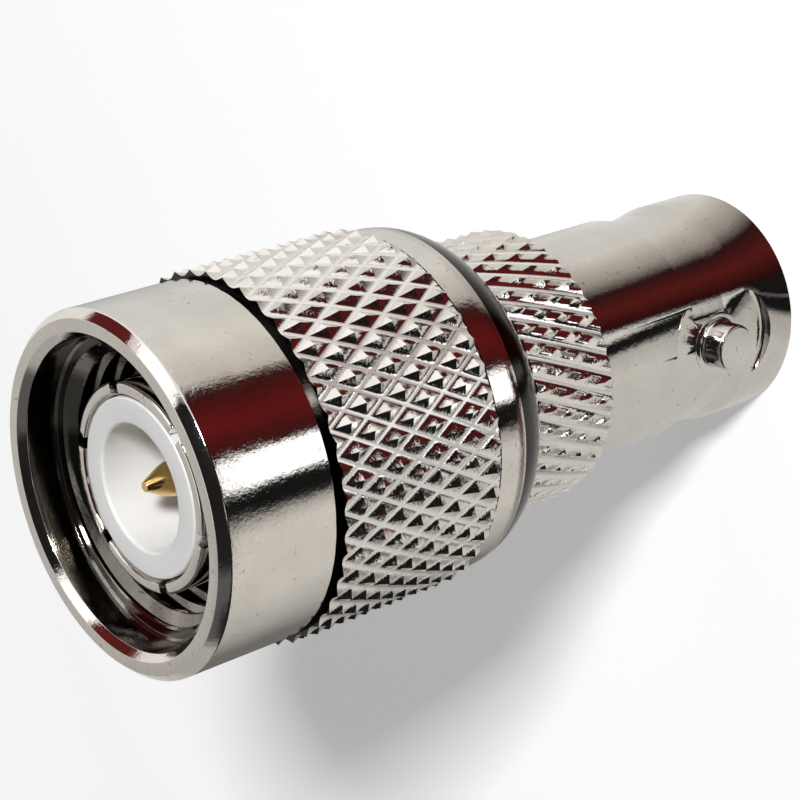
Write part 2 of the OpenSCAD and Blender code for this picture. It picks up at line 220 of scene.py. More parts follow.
@dataclass(frozen=True)
class PlatedMetal:
    """Electroplated metal: a grainy mirror with faint tool marks and cloudy tarnish."""

    name: str
    colour: tuple[float, float, float]
    shade: tuple[float, float, float]
    roughness: float = 0.1
    grain_mm: float = 0.11
    grain_height_mm: float = 0.004
    wave_mm: float = 0.6
    wave_height_mm: float = 0.007
    pits: float = 0.5
    floors_mm: tuple[float, ...] = ()

    def material(self) -> bpy.types.Material:
        """Builds the material.

        Returns:
            The material.
        """
        made = bpy.data.materials.new(self.name)
        made.use_nodes = True
        tree = NodeWriter(made.node_tree)
        place = tree.add("ShaderNodeTexCoord", out="Object")
        cloud = tree.add("ShaderNodeTexNoise", {}, {"Vector": place, "Scale": 0.35 / MM, "Detail": 4.0,
                                                    "Roughness": 0.6})
        grain = tree.add("ShaderNodeTexNoise", {}, {"Vector": place, "Scale": 1 / (self.grain_mm * MM),
                                                    "Detail": 3.0, "Roughness": 0.65})
        wave = tree.add("ShaderNodeTexNoise", {}, {"Vector": place, "Scale": 1 / (self.wave_mm * MM),
                                                   "Detail": 3.0, "Roughness": 0.6})
        patches = cloud.step(0.42, 0.62) * 0.6 + 0.4
        tone = cloud.step(0.35, 0.7) * 0.7 + grain.step(0.35, 0.75) * 0.3
        height = grain * patches * (self.grain_height_mm * MM) + wave * (self.wave_height_mm * MM)
        bump = tree.add("ShaderNodeBump", {}, {"Strength": 1.0, "Distance": 1.0, "Height": height})
        specks = tree.add("ShaderNodeTexNoise", {}, {"Vector": place, "Scale": 3.5 / MM, "Detail": 2.0})
        dull = specks.step(0.68, 0.74) * self.pits
        floor_frost_and_highlight = self._floor_frost_and_highlight(tree, place)
        plain = tree.blend(dull, tree.blend(tone, rgba(self.colour), rgba(self.shade)),
                           rgba([0.45 * part for part in self.shade]))
        # Where floors_mm is set, the groove floors turn pale and less metallic, which is a painted highlight; their
        # extra roughness is real.
        shader = tree.add("ShaderNodeBsdfPrincipled", {}, {
            "Base Color": tree.blend(floor_frost_and_highlight, plain, (0.8, 0.78, 0.75, 1.0)),
            "Metallic": 1.0 - floor_frost_and_highlight * 0.3,
            "Roughness": cloud.step(0.3, 0.75) * 0.06 + dull * 0.2 + floor_frost_and_highlight * 0.25 + (self.roughness - 0.02),
            "Normal": bump,
        })
        tree.node("ShaderNodeOutputMaterial", {}, {"Surface": shader})
        return made

    def _floor_frost_and_highlight(self, tree: NodeWriter, place: Sock) -> Union[Sock, Number]:
        """Finds the groove floors, which get a rougher finish and a pale, less metallic colour that is a painted
        highlight.

        Args:
            tree: The material's tree.
            place: Object coordinates.

        Returns:
            The share of rough, pale groove floor with its painted highlight, from 0 to 1.
        """
        split = tree.node("ShaderNodeSeparateXYZ", {}, {0: place})
        x, y = Sock(tree, split.outputs[0]), Sock(tree, split.outputs[1])
        radius = (x * x + y * y).math("SQRT") / MM
        floor_frost_and_highlight = radius * 0.0
        for floor in self.floors_mm:
            floor_frost_and_highlight = floor_frost_and_highlight + radius.step(floor - 0.06, floor - 0.05) * (
                1.0 - radius.step(floor + 0.004, floor + 0.018))
        return floor_frost_and_highlight


@dataclass(frozen=True)
class MouldedPlastic:
    """Matte plastic or rubber: even colour with faint mottling and fine tool marks."""

    name: str
    colour: tuple[float, float, float]
    shade: tuple[float, float, float]
    roughness: float
    ring_mm: float = 0.12
    ring_height_mm: float = 0.002
    subsurface: float = 0.0

    def material(self) -> bpy.types.Material:
        """Builds the material.

        Returns:
            The material.
        """
        made = bpy.data.materials.new(self.name)
        made.use_nodes = True
        tree = NodeWriter(made.node_tree)
        place = tree.add("ShaderNodeTexCoord", out="Object")
        cloud = tree.add("ShaderNodeTexNoise", {}, {"Vector": place, "Scale": 0.6 / MM, "Detail": 3.0})
        rings = tree.add("ShaderNodeTexWave", {"wave_type": "RINGS", "rings_direction": "Z"},
                         {"Vector": place, "Scale": 0.3 / (self.ring_mm * MM), "Distortion": 0.6,
                          "Detail": 1.0}, "Fac")
        bump = tree.add("ShaderNodeBump", {}, {"Strength": 1.0, "Distance": 1.0,
                                               "Height": rings * (self.ring_height_mm * MM)
                                               + cloud * (2 * self.ring_height_mm * MM)})
        shader = tree.add("ShaderNodeBsdfPrincipled", {}, {
            "Base Color": tree.blend(cloud.step(0.3, 0.7), rgba(self.colour), rgba(self.shade)),
            "Roughness": cloud * 0.12 + (self.roughness - 0.06),
            "Subsurface Weight": self.subsurface,
            "Subsurface Scale": 0.5 * MM,
            "Normal": bump,
        })
        tree.node("ShaderNodeOutputMaterial", {}, {"Surface": shader})
        return made


class Finish(Enum):
    """Finishes of the adapter's pieces."""

    NICKEL = PlatedMetal("semi_bright_nickel", (0.76, 0.73, 0.69), (0.64, 0.61, 0.57), 0.06, 0.14,
                         0.006, 0.6, 0.007)
    # Lighter copy of the nickel for the knurl teeth, a painted highlight; its groove floors at these radii also get
    # a pale painted highlight.
    KNURL_NICKEL = PlatedMetal("knurled_nickel", (0.86, 0.83, 0.79), (0.7, 0.67, 0.63), 0.06, 0.1,
                               0.006, 0.4, 0.012, 0.4, (7.15, 5.56))
    # Darker copy of the nickel for the nut's bore and thread: painted shade of the recess.
    BORE_NICKEL = PlatedMetal("bore_nickel", (0.3, 0.28, 0.25), (0.14, 0.13, 0.12), 0.09, 0.11, 0.003)
    # Near-black copy of the nickel for the neck groove and the knurl's end walls: painted shade.
    NECK_NICKEL = PlatedMetal("neck_nickel", (0.07, 0.065, 0.06), (0.03, 0.028, 0.025), 0.14, 0.11, 0.004)
    GOLD = PlatedMetal("gold_plate", (0.86, 0.62, 0.26), (0.74, 0.5, 0.19), 0.08, 0.08, 0.001, 0.4, 0.002,
                       0.0)
    BRONZE = PlatedMetal("spring_bronze", (0.62, 0.42, 0.24), (0.45, 0.3, 0.17), 0.3)
    FLUOROPOLYMER = MouldedPlastic("white_fluoropolymer", (0.82, 0.82, 0.815), (0.77, 0.77, 0.765), 0.42,
                                   subsurface=0.1)
    SILICONE = MouldedPlastic("red_silicone", (0.42, 0.07, 0.04), (0.34, 0.05, 0.03), 0.55)


class FinishShelf:
    """Makes each finish once and hands it out."""

    def __init__(self) -> None:
        """Starts with no material made."""
        self.made: dict[Finish, bpy.types.Material] = {}

    def get(self, finish: Finish) -> bpy.types.Material:
        """Gives a finish's material.

        Args:
            finish: The finish.

        Returns:
            Its material, made on first use.
        """
        if finish not in self.made:
            self.made[finish] = finish.value.material()
        return self.made[finish]


SHELF = FinishShelf()


# ---------------------------------------------------------------------------------------------
# Mesh helpers
# ---------------------------------------------------------------------------------------------


def eased(corners: Iterable[Sequence[float]], steps: int = 5) -> list[Point]:
    """Rounds the corners of an open profile.

    Args:
        corners: (radius, height) or (radius, height, rounding) of each corner, in millimetres.
        steps: Segments of each rounded corner.

    Returns:
        The profile's points, in millimetres.
    """
    points = [tuple(c) for c in corners]
    out: list[Point] = []
    for i, corner in enumerate(points):
        rounding = corner[2] if len(corner) > 2 else 0.0
        here = Vector(corner[:2])
        if rounding <= 0 or i in (0, len(points) - 1):
            out.append((here.x, here.y))
            continue
        back, ahead = Vector(points[i - 1][:2]) - here, Vector(points[i + 1][:2]) - here
        half = back.angle(ahead) / 2
        reach = min(rounding / math.tan(half), back.length * 0.48, ahead.length * 0.48)
        start, end = here + back.normalized() * reach, here + ahead.normalized() * reach
        for k in range(steps + 1):
            t = k / steps
            spot = start * (1 - t) ** 2 + here * (2 * t * (1 - t)) + end * t ** 2
            out.append((spot.x, spot.y))
    return out


def turned(profile: Sequence[Point], segments: int = 160, closed: bool = True,
           arc: tuple[float, float] | None = None) -> bmesh.types.BMesh:
    """Turns a profile about the axis, counted so that its faces point away from the metal.

    Args:
        profile: (radius, height) points in millimetres, with the metal on the left of their path.
        segments: Facets round the axis.
        closed: Whether the profile's last point joins its first.
        arc: First and last angle in degrees, or None for a full turn.

    Returns:
        The turned mesh, in metres.
    """
    made = bmesh.new()
    full = arc is None
    start, end = (0.0, 360.0) if full else arc
    count = segments if full else segments + 1
    angles = [math.radians(start + (end - start) * k / segments) for k in range(count)]
    rows = []
    for radius, height in profile:
        if radius < 1e-6:
            pole = made.verts.new((0, 0, height * MM))
            rows.append([pole] * count)
        else:
            rows.append([made.verts.new((radius * math.cos(a) * MM, radius * math.sin(a) * MM,
                                         height * MM)) for a in angles])
    spans = list(zip(rows, rows[1:])) + ([(rows[-1], rows[0])] if closed else [])
    for low, high in spans:
        for k in range(segments):
            n = (k + 1) % count
            ring = [low[k], low[n], high[n], high[k]]
            ring = [v for i, v in enumerate(ring) if v is not ring[i - 1]]
            if len(ring) > 2:
                made.faces.new(ring)
    if not full and closed:
        made.faces.new([row[0] for row in rows])
        made.faces.new([row[-1] for row in reversed(rows)])
    bmesh.ops.recalc_face_normals(made, faces=made.faces[:])
    return made


def box_mesh(low: Sequence[float], high: Sequence[float]) -> bmesh.types.BMesh:
    """Makes a cutter block between two corners, in millimetres."""
    made = bmesh.new()
    bmesh.ops.create_cube(made, size=1.0)
    size = [(h - l) * MM for l, h in zip(low, high)]
    middle = [(h + l) / 2 * MM for l, h in zip(low, high)]
    bmesh.ops.transform(made, matrix=Matrix.Translation(middle) @ Matrix.Diagonal((*size, 1)),
                        verts=made.verts)
    return made


def as_object(mesh: bmesh.types.BMesh, name: str) -> bpy.types.Object:
    """Turns a bmesh into a linked object.

    Args:
        mesh: The bmesh, freed here.
        name: The object's name.

    Returns:
        The object.
    """
    data = bpy.data.meshes.new(name)
    mesh.to_mesh(data)
    mesh.free()
    made = bpy.data.objects.new(name, data)
    bpy.context.scene.collection.objects.link(made)
    return made


def settled(made: bpy.types.Object) -> bpy.types.Object:
    """Bakes an object's modifiers into its mesh.

    Args:
        made: The object.

    Returns:
        The same object, with a plain mesh and no modifiers.
    """
    graph = bpy.context.evaluated_depsgraph_get()
    graph.update()
    plain = bpy.data.meshes.new_from_object(made.evaluated_get(graph))
    old = made.data
    made.modifiers.clear()
    made.data = plain
    plain.name = made.name
    if old.users == 0:
        bpy.data.meshes.remove(old)
    return made


def combined(target: bpy.types.Object, tool: bpy.types.Object, operation: str) -> bpy.types.Object:
    """Cuts or joins two solids.

    Args:
        target: The solid that is changed.
        tool: The other solid, removed afterwards.
        operation: DIFFERENCE or UNION.

    Returns:
        The changed target.
    """
    step = target.modifiers.new("combine", "BOOLEAN")
    step.operation, step.object, step.solver = operation, tool, "EXACT"
    settled(target)
    bpy.data.objects.remove(tool)
    return target


def joined(parts: Sequence[bpy.types.Object], name: str, weld_mm: float = 0.0) -> bpy.types.Object:
    """Joins meshes into one object.

    Args:
        parts: Objects, removed afterwards.
        name: The new object's name.
        weld_mm: Distance under which vertices are merged.

    Returns:
        The new object.
    """
    whole = bmesh.new()
    for part in parts:
        whole.from_mesh(part.data)
        bpy.data.objects.remove(part)
    if weld_mm > 0:
        bmesh.ops.remove_doubles(whole, verts=whole.verts[:], dist=weld_mm * MM)
    return as_object(whole, name)


def smoothed(made: bpy.types.Object, angle: float = 32.0) -> bpy.types.Object:
    """Shades an object smooth, with sharp edges above an angle in degrees."""
    data = made.data
    data.polygons.foreach_set("use_smooth", [True] * len(data.polygons))
    data.set_sharp_from_angle(angle=math.radians(angle))
    data.update()
    return made


def faced_out(made: bpy.types.Object) -> bpy.types.Object:
    """Turns a closed skin's faces outwards."""
    whole = bmesh.new()
    whole.from_mesh(made.data)
    bmesh.ops.recalc_face_normals(whole, faces=whole.faces[:])
    whole.to_mesh(made.data)
    whole.free()
    return made


def dressed(made: bpy.types.Object, *finishes: Finish) -> bpy.types.Object:
    """Puts finishes into an object's material slots, in order."""
    made.data.materials.clear()
    for finish in finishes:
        made.data.materials.append(SHELF.get(finish))
    return made


def placed(made: bpy.types.Object, body: Body, node: str) -> bpy.types.Object:
    """Lets a finished piece stand for a solid.

    Args:
        made: The piece, in place.
        body: The body it rides on.
        node: The solid it replaces.

    Returns:
        The piece.
    """
    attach(made, body.value)
    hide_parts(node)
    LOG.info("%s: %d vertices, %d faces", made.name, len(made.data.vertices), len(made.data.polygons))
    return made


class ShapeTree(NodeWriter):
    """A Geometry Nodes tree with named inputs."""

    def __init__(self, name: str, inputs: dict[str, Number]) -> None:
        """Makes the tree and its input sockets.

        Args:
            name: The tree's name.
            inputs: Input names and values; an int makes an integer socket.
        """
        tree = bpy.data.node_groups.new(name, "GeometryNodeTree")
        super().__init__(tree)
        self.values: dict[str, Number] = {}
        for label, value in inputs.items():
            kind = "NodeSocketInt" if isinstance(value, int) else "NodeSocketFloat"
            socket = tree.interface.new_socket(name=label, in_out="INPUT", socket_type=kind)
            self.values[socket.identifier] = value
        tree.interface.new_socket(name="Finish", in_out="INPUT", socket_type="NodeSocketMaterial")
        tree.interface.new_socket(name="Geometry", in_out="OUTPUT", socket_type="NodeSocketGeometry")
        self.source = tree.nodes.new("NodeGroupInput")

    def given(self, label: str) -> Sock:
        """Gives an input's socket by name."""
        return Sock(self, self.source.outputs[label])

    def grown(self, shape: Sock, name: str, finish: Finish) -> bpy.types.Object:
        """Ends the tree and turns its result into a plain mesh object.

        Args:
            shape: The tree's geometry.
            name: The object's name.
            finish: The finish that Set Material gives.

        Returns:
            The object, with no modifier left.
        """
        real = self.add("GeometryNodeRealizeInstances", {}, {"Geometry": shape})
        done = self.add("GeometryNodeSetMaterial", {}, {"Geometry": real, "Material": self.given("Finish")})
        self.node("NodeGroupOutput", {}, {0: done})
        made = bpy.data.objects.new(name, bpy.data.meshes.new(name))
        bpy.context.scene.collection.objects.link(made)
        step = made.modifiers.new("shape", "NODES")
        step.node_group = self.tree
        for identifier, value in self.values.items():
            step[identifier] = value
        for item in self.tree.interface.items_tree:
            if item.name == "Finish":
                step[item.identifier] = SHELF.get(finish)
        return settled(made)

    def vector(self, x: Value, y: Value, z: Value) -> Sock:
        """Joins three numbers into a vector."""
        return self.add("ShaderNodeCombineXYZ", {}, {0: x, 1: y, 2: z})

    def parts_of(self, vector: Sock) -> tuple[Sock, Sock, Sock]:
        """Splits a vector into its three numbers."""
        node = self.node("ShaderNodeSeparateXYZ", {}, {0: vector})
        return Sock(self, node.outputs[0]), Sock(self, node.outputs[1]), Sock(self, node.outputs[2])


@dataclass
class KnurlBand:
    """Diamond knurling: two crossing families of grooves between teeth with hollow flanks.

    The lattice is counted from one groove crossing, and the band is cut square at both ends.
    `shallow` is the share of the teeth's height at which the left-handed grooves stop.
    """

    name: str
    floor_radius: float
    tooth_height: float
    core_radius: float
    z0: float
    length: float
    teeth: int
    pitch: float
    crossing_z: float
    crossing_angle: float
    shallow: float = 0.0
    hollow: float = 0.4
    steps: int = 8

    def build(self) -> bpy.types.Object:
        """Grows the band from a grid that is wrapped round the axis.

        Returns:
            The band's object, a closed ring.
        """
        half = self.pitch / 2
        below = int(math.ceil((self.crossing_z - self.z0) / half))
        above = int(math.ceil((self.z0 + self.length - self.crossing_z) / half))
        tree = ShapeTree(self.name, {
            "Columns": 2 * self.teeth * self.steps, "Rows": (below + above) * self.steps,
            "Steps": self.steps, "Rows below": below, "Half length": half * MM,
            "Tooth height": self.tooth_height * MM, "Floor radius": self.floor_radius * MM,
            "Core radius": self.core_radius * MM, "Bottom": self.z0 * MM,
            "Top": (self.z0 + self.length) * MM, "Crossing height": self.crossing_z * MM,
            "Crossing angle": math.radians(self.crossing_angle), "Shallow": self.shallow,
            "Hollow": self.hollow, "Groove floor": 1.0 / self.steps})
        rows, steps = tree.given("Rows"), tree.given("Steps")
        grid = tree.add("GeometryNodeMeshGrid", {}, {
            "Size X": 1.0, "Size Y": 1.0, "Vertices X": tree.given("Columns") + 1, "Vertices Y": rows + 4})
        x, y, _ = tree.parts_of(tree.add("GeometryNodeInputPosition"))
        column = (x + 0.5) * tree.given("Columns")
        row = ((y + 0.5) * (rows + 3)).math("ROUND")
        index = (row - 1).math("MAXIMUM", 0.0).math("MINIMUM", rows)
        height = tree.given("Crossing height") + (index / steps - tree.given("Rows below")) * tree.given(
            "Half length")
        height = height.math("MAXIMUM", tree.given("Bottom")).math("MINIMUM", tree.given("Top"))
        closing = row > rows + 2.5
        height = height + closing * (tree.given("Bottom") - height)
        skin = (row > 0.5) * (row < rows + 1.5)
        radius = tree.given("Core radius") + skin * (
            tree.given("Floor radius") - tree.given("Core radius") + self._relief(tree, column / steps, height))
        angle = column / tree.given("Columns") * TAU + tree.given("Crossing angle")
        shape = tree.add("GeometryNodeSetPosition", {}, {
            "Geometry": grid,
            "Position": tree.vector(radius * angle.math("COSINE"), radius * angle.math("SINE"), height)})
        shape = tree.add("GeometryNodeMergeByDistance", {}, {"Geometry": shape, "Distance": 0.002 * MM})
        # The teeth wear the lighter knurl nickel: painted highlight.
        return faced_out(tree.grown(shape, self.name, Finish.KNURL_NICKEL))

    def _relief(self, tree: ShapeTree, across: Sock, height: Sock) -> Sock:
        """Works out the teeth's height.

        Args:
            tree: The band's tree.
            across: Place round the band, in half teeth from the crossing.
            height: Place along the axis.

        Returns:
            How far the skin stands out from the groove floors.
        """
        along = (height - tree.given("Crossing height")) / tree.given("Half length")
        left = self._flank(tree, (across + along) * 0.5).math("MAXIMUM", tree.given("Shallow"))
        right = self._flank(tree, (across - along) * 0.5)
        return left.math("MINIMUM", right) * tree.given("Tooth height")

    @staticmethod
    def _flank(tree: ShapeTree, place: Sock) -> Sock:
        """Rises from 0 in the grooves at whole numbers to 1 half way between them."""
        from_groove = abs((place + 0.5).math("FRACT") - 0.5) * 2
        rise = ((from_groove - tree.given("Groove floor")) / (1 - tree.given("Groove floor"))).math(
            "MAXIMUM", 0.0)
        return rise * (1 - tree.given("Hollow") + rise * tree.given("Hollow"))


@dataclass
class InnerThread:
    """Right-hand inside thread, 60 degree form, with a chamfer at each end."""

    minor_radius: float = 5.12
    major_radius: float = 5.56
    pitch: float = 25.4 / 28
    z0: float = 24.7
    z1: float = 30.6
    segments: int = 160

    def build(self) -> bpy.types.Object:
        """Grows the thread's surface from a grid that is wound up the bore.

        Returns:
            The thread's object.
        """
        turns = int(math.ceil((self.z1 - self.z0) / self.pitch)) + 2
        tree = ShapeTree("coupling_thread", {
            "Turns": turns, "Segments": self.segments, "Minor radius": self.minor_radius * MM,
            "Major radius": self.major_radius * MM, "Pitch": self.pitch * MM, "Bottom": self.z0 * MM,
            "Top": self.z1 * MM})
        grid = tree.add("GeometryNodeMeshGrid", {}, {
            "Size X": 1.0, "Size Y": 1.0, "Vertices X": tree.given("Turns") * tree.given("Segments") + 1,
            "Vertices Y": 17})
        x, y, _ = tree.parts_of(tree.add("GeometryNodeInputPosition"))
        turn = (x + 0.5) * tree.given("Turns")
        across = y + 0.5
        pitch, minor, major = tree.given("Pitch"), tree.given("Minor radius"), tree.given("Major radius")
        bottom, top = tree.given("Bottom"), tree.given("Top")
        height = bottom + pitch * (turn + across - 2.0)
        height = height.math("MAXIMUM", bottom).math("MINIMUM", top)
        depth = (abs(across * 2 - 1.0)).step(0.25, 0.875) * (major - minor)
        radius = (minor + depth).math("MAXIMUM", major - (top - height)).math(
            "MAXIMUM", major - (height - bottom))
        angle = turn * -TAU
        shape = tree.add("GeometryNodeSetPosition", {}, {
            "Geometry": grid,
            "Position": tree.vector(radius * angle.math("COSINE"), radius * angle.math("SINE"), height)})
        merged = tree.add("GeometryNodeMergeByDistance", {}, {"Geometry": shape, "Distance": 0.002 * MM})
        # The thread wears the darker bore nickel: painted shade.
        return tree.grown(merged, "coupling_thread", Finish.BORE_NICKEL)


# ---------------------------------------------------------------------------------------------
# The adapter's pieces
# ---------------------------------------------------------------------------------------------


@dataclass
class CouplingNut:
    """The turning nut: mouth, smooth band, diamond knurl, rounded shoulder and inside thread."""

    rear: float = 16.1
    mouth: float = 32.2
    band_radius: float = 7.1
    shoulder_radius: float = 7.12
    knurl_bottom: float = 19.35
    knurl_length: float = 7.5
    neck: float = 0.3
    neck_radius: float = 6.85
    thread: InnerThread = None

    def build(self) -> bpy.types.Object:
        """Builds the nut.

        Returns:
            The nut's object.
        """
        thread = self.thread or InnerThread()
        knurl_top = self.knurl_bottom + self.knurl_length
        shoulder = [(self.shoulder_radius - 2.6 + 2.6 * math.cos(math.radians(a)),
                     18.4 + 2.6 * math.sin(math.radians(a))) for a in np.linspace(-62.2, 0, 14)]
        outside = eased([
            (thread.major_radius, thread.z1), (5.9, thread.z1, 0.03), (6.0, thread.z1 + 0.1, 0.03),
            (6.0, self.mouth - 0.28, 0.05), (6.28, self.mouth, 0.05), (6.78, self.mouth, 0.09),
            (self.band_radius, self.mouth - 0.36, 0.12), (self.band_radius, knurl_top + self.neck + 0.05, 0.05),
            (self.neck_radius, knurl_top + self.neck, 0.04), (self.neck_radius, knurl_top - 0.05, 0.03),
            (self.neck_radius, self.knurl_bottom + 0.1, 0.03), (7.0, self.knurl_bottom - 0.02, 0.03),
            (self.shoulder_radius, self.knurl_bottom - 0.1, 0.06)])
        inside = eased([(5.06, self.rear), (5.06, 17.2), (5.5, 17.2), (5.5, 18.1), (5.06, 18.1),
                        (5.06, 20.0, 0.08), (5.85, 20.0, 0.1), (5.85, 24.4, 0.1),
                        (thread.major_radius, thread.z0)])
        profile = outside + shoulder[::-1] + inside
        blank = as_object(turned(profile, thread.segments, closed=False), "nut_blank")
        nut = joined([blank, thread.build()], "coupling_nut_visual", 0.004)
        faced_out(nut)
        smoothed(nut)
        knurl = KnurlBand("nut_knurl", 7.15, 0.25, self.neck_radius - 0.2, self.knurl_bottom,
                          self.knurl_length, 44, 1.81, 24.2, 19.6).build()
        smoothed(knurl, 17.0)
        return self._dressed(nut, knurl)

    def _dressed(self, nut: bpy.types.Object, knurl: bpy.types.Object) -> bpy.types.Object:
        """Gives the skin its finishes, joins the knurl to it and places it."""
        dressed(nut, Finish.NICKEL, Finish.BORE_NICKEL, Finish.KNURL_NICKEL, Finish.NECK_NICKEL)
        # Faces inside the bore get the darker bore nickel, and the neck groove gets the near-black neck nickel:
        # painted shade of the recesses.
        for face in nut.data.polygons:
            centre = face.center / MM
            reach = math.hypot(centre.x, centre.y)
            inside = reach < 6.01 and centre.z < self.mouth - 0.3
            neck = 6.5 < reach < self.band_radius - 0.02 and centre.z < 27.16
            face.material_index = 1 if inside else 3 if neck else 0
        dressed(knurl, Finish.NICKEL, Finish.BORE_NICKEL, Finish.KNURL_NICKEL, Finish.NECK_NICKEL)
        # The knurl's end walls get the near-black neck nickel, which is painted shade; its teeth get the lighter
        # knurl nickel, which is a painted highlight.
        for face in knurl.data.polygons:
            face.material_index = 3 if abs(face.normal.z) > 0.98 else 2
        with bpy.context.temp_override(active_object=nut, selected_editable_objects=[nut, knurl]):
            bpy.ops.object.join()
        return placed(nut, Body.NUT, "coupling_nut")


@dataclass
class AdapterShell:
    """The one-piece shell: jack barrel with channel, dishes and studs, collar and hub."""

    barrel_radius: float = 4.825
    collar: tuple[float, float] = (11.75, 16.0)
    stud_z: float = 4.4
    dish_floor: float = 4.42
    dish_radius: float = 2.9

    def build(self) -> bpy.types.Object:
        """Builds the shell.

        Returns:
            The shell's object.
        """
        low, high = self.collar
        profile = eased([
            (4.06, 0.15), (4.21, 0.0, 0.05), (self.barrel_radius, 0.0, 0.35),
            (self.barrel_radius, 2.75, 0.08), (4.6, 3.9, 0.5), (4.6, 5.85, 0.08),
            (self.barrel_radius, 5.95, 0.06), (self.barrel_radius, low, 0.05), (5.4, low, 0.08),
            (5.5, low + 0.15, 0.05), (5.5, high - 0.15, 0.05), (5.4, high, 0.05), (5.0, high),
            (5.0, 17.2), (4.2, 17.2), (4.2, 18.4), (5.0, 18.4), (5.0, 20.5, 0.08), (4.27, 20.5),
            (4.27, 19.0), (3.0, 19.0), (3.0, 9.6), (2.41, 9.6), (2.41, 8.4), (4.06, 8.4), (4.06, 0.15)])
        shell = as_object(turned(profile[:-1], 160), "body_shell_visual")
        for side in (0, 180):
            combined(shell, self._cutter(side), "DIFFERENCE")
        for side in (0, 180):
            combined(shell, self._stud(side), "UNION")
        soft = shell.modifiers.new("soft_edges", "BEVEL")
        soft.width, soft.segments, soft.limit_method, soft.angle_limit = 0.05 * MM, 2, "ANGLE", math.radians(35)
        settled(shell)
        smoothed(shell, 40.0)
        knurl = KnurlBand("collar_knurl", 5.56, 0.24, 5.2, low + 0.12, high - low - 0.24, 42, 1.94,
                          14.35, 19.4, shallow=0.4).build()
        smoothed(knurl, 17.0)
        dressed(shell, Finish.NICKEL, Finish.BORE_NICKEL, Finish.KNURL_NICKEL)
        dressed(knurl, Finish.NICKEL, Finish.BORE_NICKEL, Finish.KNURL_NICKEL)
        # The collar knurl wears the lighter knurl nickel with pale groove floors: painted highlight.
        knurl.data.polygons.foreach_set("material_index", [2] * len(knurl.data.polygons))
        with bpy.context.temp_override(active_object=shell, selected_editable_objects=[shell, knurl]):
            bpy.ops.object.join()
        return placed(shell, Body.SHELL, "body_shell")

    def _aimed(self, mesh: bmesh.types.BMesh, side: float) -> bmesh.types.BMesh:
        """Points a turned mesh's axis outwards along a stud's axis."""
        bmesh.ops.transform(mesh, verts=mesh.verts, matrix=Matrix.Rotation(math.radians(side), 4, "Z")
                            @ Matrix.Translation((0, 0, self.stud_z * MM))
                            @ Matrix.Rotation(math.radians(90), 4, "Y"))
        return mesh

    def _cutter(self, side: float) -> bpy.types.Object:
        """Makes the cutter of one dish, with a rounded foot."""
        profile = eased([(0.0, self.dish_floor), (self.dish_radius, self.dish_floor, 0.3),
                         (self.dish_radius, 7.0), (0.0, 7.0)])
        return as_object(self._aimed(turned(profile, 72, closed=False), side), "dish_cutter")

    def _stud(self, side: float) -> bpy.types.Object:
        """Makes one stud with a filleted foot."""
        profile = eased([(0.0, 4.2), (1.35, 4.2), (1.35, self.dish_floor + 0.02), (1.0, self.dish_floor + 0.02, 0.3),
                         (1.0, 5.5, 0.16), (0.0, 5.5)], 6)
        return as_object(self._aimed(turned(profile, 48, closed=False), side), "stud")


@dataclass
class OuterContact:
    """The plug's slotted spring sleeve."""

    outer: float = 4.075
    inner: float = 3.55
    foot: float = 4.25
    bottom: float = 19.02
    hub_top: float = 20.5
    tip: float = 30.9
    slots: int = 6
    slot_width: float = 0.5
    slot_length: float = 4.9
    first_slot: float = 46.0

    def build(self) -> bpy.types.Object:
        """Builds the sleeve from one finger, repeated round the axis.

        Returns:
            The sleeve's object.
        """
        root = self.tip - self.slot_length
        half = math.degrees(self.slot_width / 2 / ((self.outer + self.inner) / 2))
        step = 360 / self.slots
        finger = as_object(turned(eased([
            (self.inner, root), (self.outer, root), (self.outer, self.tip, 0.16),
            (self.inner + 0.1, self.tip, 0.06), (self.inner, self.tip - 0.3, 0.05), (self.inner, root)])[:-1],
            16, True, (half, step - half)), "finger")
        finger.hide_render = True
        tree = ShapeTree("contact_fingers", {"Slots": self.slots, "First slot": math.radians(self.first_slot)})
        source = tree.add("GeometryNodeObjectInfo", {}, {"Object": finger}, "Geometry")
        line = tree.add("GeometryNodeMeshLine", {}, {"Count": tree.given("Slots"), "Offset": (0.0, 0.0, 0.0)})
        index = tree.add("GeometryNodeInputIndex")
        turn = index * TAU / tree.given("Slots") + tree.given("First slot")
        ring = tree.add("GeometryNodeInstanceOnPoints", {}, {
            "Points": line, "Instance": source, "Rotation": tree.vector(0.0, 0.0, turn)})
        fingers = tree.grown(ring, "outer_contact_fingers", Finish.NICKEL)
        bpy.data.objects.remove(finger)
        sleeve = as_object(turned([(3.0, self.bottom), (self.foot, self.bottom), (self.foot, self.hub_top),
                                   (self.outer, self.hub_top), (self.outer, root), (self.inner, root),
                                   (self.inner, self.hub_top), (3.0, self.hub_top)], 96), "sleeve")
        whole = joined([fingers, sleeve], "outer_contact_visual")
        soft = whole.modifiers.new("soft_edges", "BEVEL")
        soft.width, soft.segments, soft.limit_method, soft.angle_limit = 0.03 * MM, 2, "ANGLE", math.radians(50)
        settled(whole)
        return placed(dressed(smoothed(whole, 40), Finish.NICKEL), Body.SHELL, "outer_contact")


